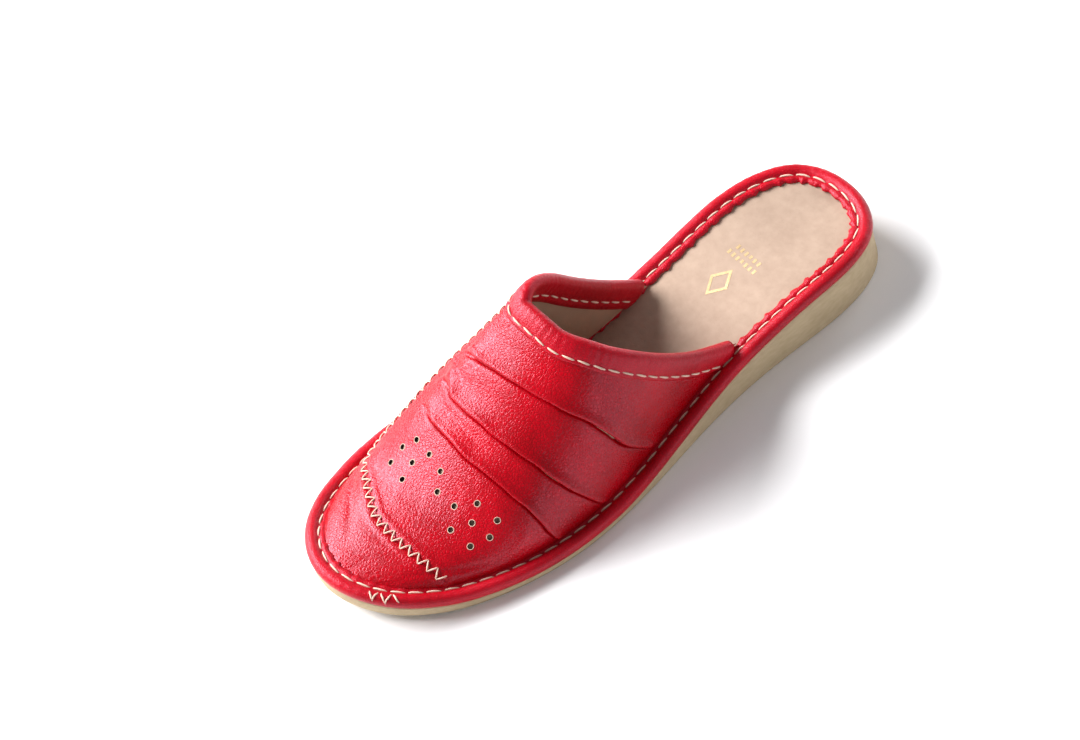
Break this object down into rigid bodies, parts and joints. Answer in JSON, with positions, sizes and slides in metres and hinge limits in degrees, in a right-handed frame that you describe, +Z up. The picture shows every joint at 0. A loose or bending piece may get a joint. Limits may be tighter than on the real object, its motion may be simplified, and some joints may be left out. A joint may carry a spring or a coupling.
{
  "type": "mule slipper",
  "caption": "Left backless slipper: low foam wedge sole, suede-like sock, rolled leather rand, hollow pleated leather vamp with a bound topline.",
  "frame": {"origin": "centre of the footprint's bounding box, on the floor under the sole", "axes": "+Y from heel to toe, +X to the big-toe side, +Z up"},
  "size_m": [0.0921, 0.2526, 0.0703],
  "materials": {
    "foam": "matte, lightly sanded foam",
    "sock": "matte suede-like lining leather",
    "rand_leather": "glossy soft leather",
    "upper_leather": "glossy grained leather"
  },
  "bodies": {
    "root": {"outsole": "foam", "insole": "sock", "rand": "rand_leather", "upper": "upper_leather", "collar_binding": "rand_leather"}
  },
  "joints": []
}
